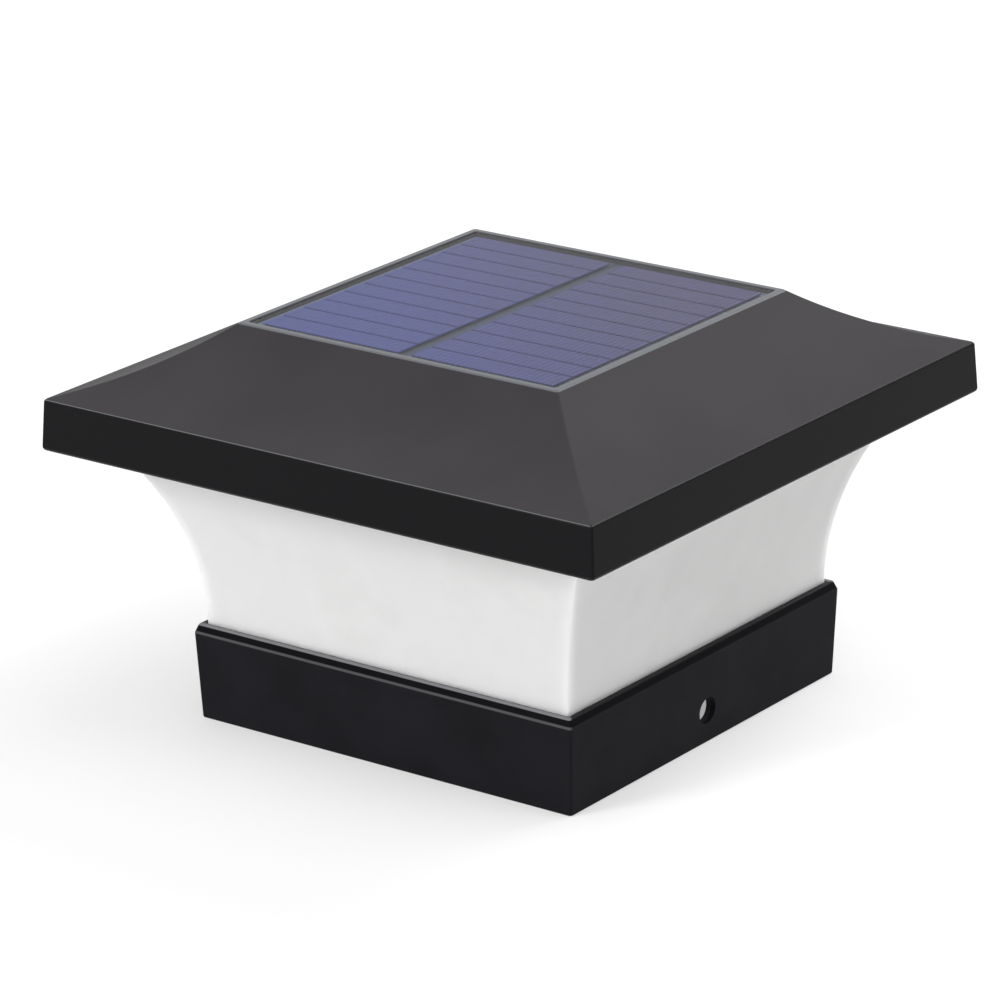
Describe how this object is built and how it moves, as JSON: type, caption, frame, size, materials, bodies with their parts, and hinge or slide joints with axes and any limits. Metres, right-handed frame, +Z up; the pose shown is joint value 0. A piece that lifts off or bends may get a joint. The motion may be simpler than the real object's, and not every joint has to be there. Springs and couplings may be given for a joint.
{
  "type": "deck post cap light",
  "caption": "Square solar cap light that sits over a deck post: black collar, flared white diffuser and a hollow-curved roof with a solar panel.",
  "frame": {"origin": "centre of the collar's open lower rim, at the foot of the light", "axes": "+Z up the post; the two post screw holes face +X and -X; the battery door hinges on its -Y edge"},
  "size_m": [0.1598, 0.1598, 0.099],
  "materials": {
    "roof_plastic": "fine matte moulded texture, black",
    "collar_plastic": "satin black moulded plastic",
    "diffuser_plastic": "frosted white translucent plastic",
    "seal_foam": "closed-cell foam",
    "adhesive_foam": "foam tape",
    "panel_backing": "matt laminate board",
    "solar_cell": "blue-violet silicon strips",
    "panel_laminate": "clear resin layer",
    "sealant": "set sealant",
    "reflector_plastic": "gloss white",
    "battery_sleeve": "plain green shrink sleeve",
    "spring_steel": "nickel-plated wire",
    "contact_plate": "nickel-plated sheet",
    "circuit_board": "green solder mask",
    "led_resin": "clear resin over yellow phosphor",
    "chip_body": "black moulded body, no marking",
    "ferrite": "dark ferrite drum",
    "capacitor_sleeve": "dark shrink sleeve, no marking",
    "switch_case": "pressed steel case",
    "switch_knob": "white moulded knob",
    "lead_red": "red insulation",
    "lead_black": "black insulation",
    "screw_steel": "zinc-plated"
  },
  "bodies": {
    "housing": {"base_collar": "collar_plastic", "lower_seal": "seal_foam", "diffuser": "diffuser_plastic", "upper_seal": "seal_foam", "roof_cover": "roof_plastic", "panel_adhesive": "adhesive_foam", "panel_backing": "panel_backing", "solar_cells": "solar_cell", "panel_cover": "panel_laminate", "terminal_sealant": "sealant", "reflector": "reflector_plastic", "battery": "battery_sleeve", "battery_spring": "spring_steel", "negative_contact": "contact_plate", "positive_contact": "contact_plate", "control_board": "circuit_board", "leds": "led_resin", "controller_chip": "chip_body", "inductor": "ferrite", "capacitor": "capacitor_sleeve", "resistors": "chip_body", "switch_body": "switch_case", "panel_lead_red": "lead_red", "panel_lead_black": "lead_black", "switch_leads": "lead_black", "deck_screws": "screw_steel", "roof_screws": "screw_steel", "reflector_screws": "screw_steel", "board_screws": "screw_steel", "switch_screws": "screw_steel"},
    "battery_door": {"battery_door": "collar_plastic"},
    "switch_knob": {"switch_knob": "switch_knob"}
  },
  "joints": [
    {"name": "battery_door_hinge", "type": "hinge", "parent": "housing", "child": "battery_door", "pos_m": [0, -0.0091, 0.02265], "axis": [-1, 0, 0], "range_deg": [0, 90]},
    {"name": "power_switch_slide", "type": "slide", "parent": "housing", "child": "switch_knob", "axis": [1, 0, 0], "range_m": [0, 0.002]}
  ]
}
